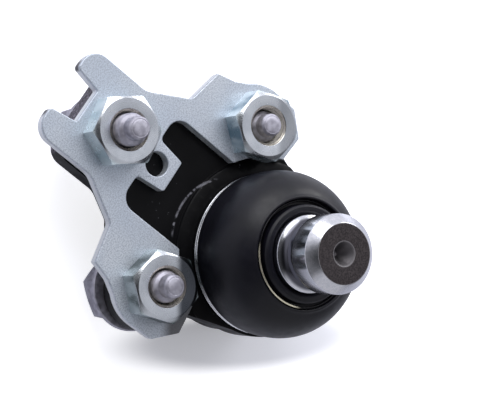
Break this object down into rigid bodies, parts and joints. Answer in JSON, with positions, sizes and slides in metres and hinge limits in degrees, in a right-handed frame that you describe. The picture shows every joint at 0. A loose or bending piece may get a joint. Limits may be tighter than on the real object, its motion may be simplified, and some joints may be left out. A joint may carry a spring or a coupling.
{
  "type": "suspension ball joint",
  "caption": "Ball joint for a car's lower control arm: flanged housing, rubber dust boot, ground pinch-bolt stud and a clamp plate held by flange bolts in weld nuts.",
  "frame": {"origin": "on the stud's axis, in the plane of the rolled rim and of the cap's middle, on which the part stands", "axes": "+Z along the stud out of the boot, -Y from the stud to the single bolt and the fork, +X to the right bolt of the pair"},
  "size_m": [0.071, 0.0887, 0.0603],
  "materials": {
    "black_coat": "satin black electrocoat, worn bright on the tower's edge",
    "zinc_plate": "bluish passivated zinc, finely speckled",
    "zinc_nut": "bluish zinc, turned top with bright bevels",
    "zinc_bolt": "grey zinc flake, matt and mottled",
    "ground_steel": "ground steel, end face as forged",
    "boot_rubber": "satin moulded rubber",
    "ring_steel": "bright rolled steel",
    "cap_steel": "black coated pressing",
    "seat_polymer": "natural acetal"
  },
  "bodies": {
    "base": {"housing": "black_coat", "end_cap": "cap_steel", "bearing_seat": "seat_polymer", "clamp_plate": "zinc_plate", "boot_ring": "ring_steel", "weld_nut_single": "zinc_nut", "weld_nut_left": "zinc_nut", "weld_nut_right": "zinc_nut", "bolt_single": "zinc_bolt", "bolt_left": "zinc_bolt", "bolt_right": "zinc_bolt"},
    "boot": {"dust_boot": "boot_rubber"},
    "boot_neck": {"neck_ring": "ring_steel"},
    "stud": {"ball_stud": "ground_steel"}
  },
  "joints": [
    {"name": "tilt_x", "type": "hinge", "parent": "base", "child": "boot", "pos_m": [0, 0, 0.019], "axis": [1, 0, 0], "range_deg": [-18, 18], "deforming": ["dust_boot"]},
    {"name": "tilt_y", "type": "hinge", "parent": "boot", "child": "boot_neck", "pos_m": [0, 0, 0.019], "axis": [0, 1, 0], "range_deg": [-18, 18], "deforming": ["dust_boot"]},
    {"name": "spin", "type": "hinge", "parent": "boot_neck", "child": "stud", "pos_m": [0, 0, 0.019], "axis": [0, 0, 1], "continuous": true}
  ]
}
